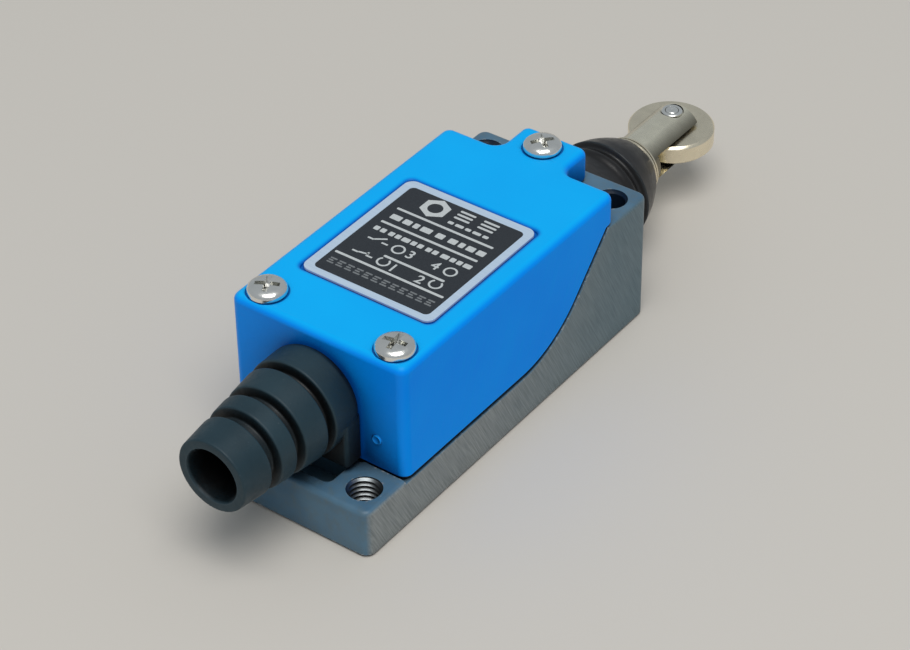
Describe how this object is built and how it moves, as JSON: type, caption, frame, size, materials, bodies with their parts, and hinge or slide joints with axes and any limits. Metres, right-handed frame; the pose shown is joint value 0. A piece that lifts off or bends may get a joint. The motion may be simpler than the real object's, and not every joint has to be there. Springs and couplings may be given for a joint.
{
  "type": "limit switch",
  "caption": "Limit switch with a sprung in-line roller plunger, blue cover on a die-cast base, rubber boot and tapered cable gland.",
  "frame": {"origin": "on the mounting face, on the body's middle plane, midway between the front and rear pairs of fixing holes", "axes": "+X across the body, +Y along the plunger from the cable end to the roller, +Z away from the mounting face"},
  "size_m": [0.028, 0.1115, 0.0267],
  "materials": {
    "painted_base": "satin grey-blue paint on die casting",
    "blue_cover": "satin bright blue moulding",
    "black_rubber": "matt black rubber",
    "nickel": "warm nickel plate",
    "screw_steel": "bright plated steel",
    "nameplate": "dark printed plate with a pale border",
    "bush_bronze": "sintered bronze",
    "spring_steel": "drawn wire and bare steel",
    "black_plastic": "matt black moulding",
    "contact_brass": "stamped brass"
  },
  "bodies": {
    "housing": {"base_housing": "painted_base", "front_cover": "blue_cover", "cover_gasket": "black_rubber", "cable_gland": "black_rubber", "rubber_boot": "black_rubber", "cover_screw_rear": "screw_steel", "cover_screw_left": "screw_steel", "cover_screw_right": "screw_steel", "block_screw_left": "screw_steel", "block_screw_right": "screw_steel", "terminal_screw_no_left": "screw_steel", "terminal_screw_no_right": "screw_steel", "terminal_screw_nc_left": "screw_steel", "terminal_screw_nc_right": "screw_steel", "wire_clamp_no_left": "screw_steel", "wire_clamp_no_right": "screw_steel", "wire_clamp_nc_left": "screw_steel", "wire_clamp_nc_right": "screw_steel", "nameplate": "nameplate", "guide_bush": "bush_bronze", "plunger_spring": "spring_steel", "carrier_spring": "spring_steel", "switch_case": "black_plastic", "switch_lid": "black_plastic", "terminal_no_left": "contact_brass", "terminal_no_right": "contact_brass", "terminal_nc_left": "contact_brass", "terminal_nc_right": "contact_brass"},
    "plunger": {"plunger_rod": "nickel", "retaining_clip": "spring_steel", "spring_washer": "spring_steel", "boot_collar": "nickel", "roller_pin": "nickel", "overtravel_spring": "spring_steel"},
    "roller": {"roller": "nickel"},
    "contact_carrier": {"contact_carrier": "black_plastic", "pusher_pin": "spring_steel", "bridge_no": "contact_brass", "bridge_nc": "contact_brass", "contact_spring_no": "spring_steel", "contact_spring_nc": "spring_steel"}
  },
  "joints": [
    {"name": "plunger_slide", "type": "slide", "parent": "housing", "child": "plunger", "axis": [0, -1, 0], "range_m": [0, 0.0055], "deforming": ["rubber_boot", "plunger_spring", "overtravel_spring"]},
    {"name": "roller_spin", "type": "hinge", "parent": "plunger", "child": "roller", "pos_m": [0, 0.0601, 0.0094], "axis": [0, 0, 1], "continuous": true},
    {"name": "contact_slide", "type": "slide", "parent": "housing", "child": "contact_carrier", "axis": [0, -1, 0], "range_m": [0, 0.0019], "deforming": ["carrier_spring"]}
  ],
  "couplings": [
    {"joint": "contact_slide", "follows": "plunger_slide", "ratio": 0.345}
  ]
}
